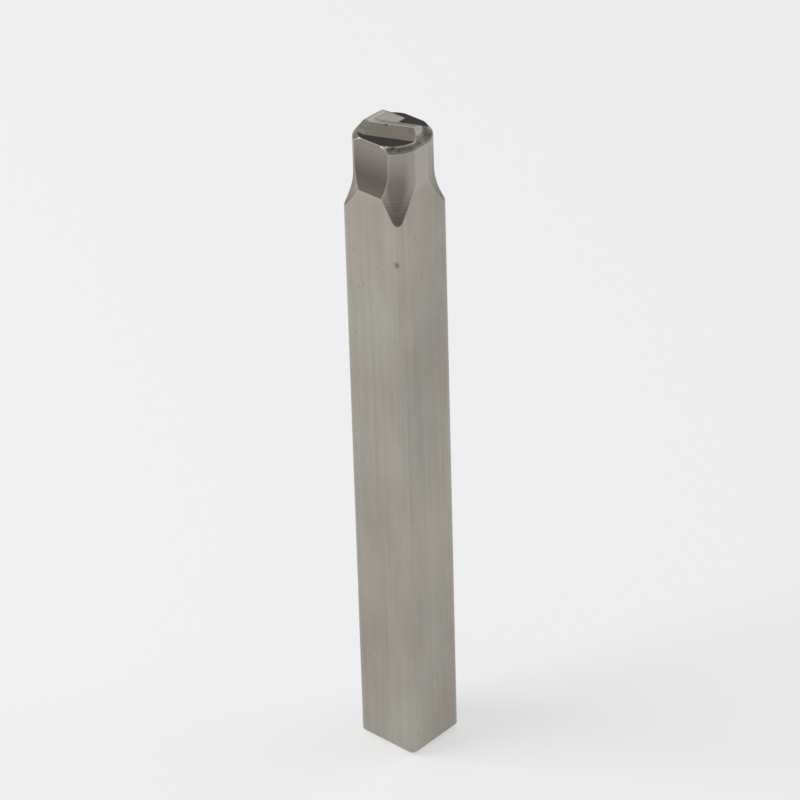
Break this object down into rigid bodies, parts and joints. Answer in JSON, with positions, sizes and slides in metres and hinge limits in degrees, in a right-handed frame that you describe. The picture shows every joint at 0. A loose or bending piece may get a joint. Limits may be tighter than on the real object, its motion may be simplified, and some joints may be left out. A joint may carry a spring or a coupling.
{
  "type": "number punch",
  "caption": "Square-shank steel hand punch with a scooped, flat-sided neck and a raised mirrored digit, for striking a number into metal.",
  "frame": {"origin": "centre of the struck end, on the surface it stands on", "axes": "+Z along the punch from the struck end to the digit; -Y towards the nearer flat of the neck; the top of the digit points along -X"},
  "size_m": [0.0064, 0.0064, 0.062],
  "materials": {
    "steel": "satin ground tool steel, a little darker on the neck"
  },
  "bodies": {
    "root": {"number_punch": "steel"}
  },
  "joints": []
}
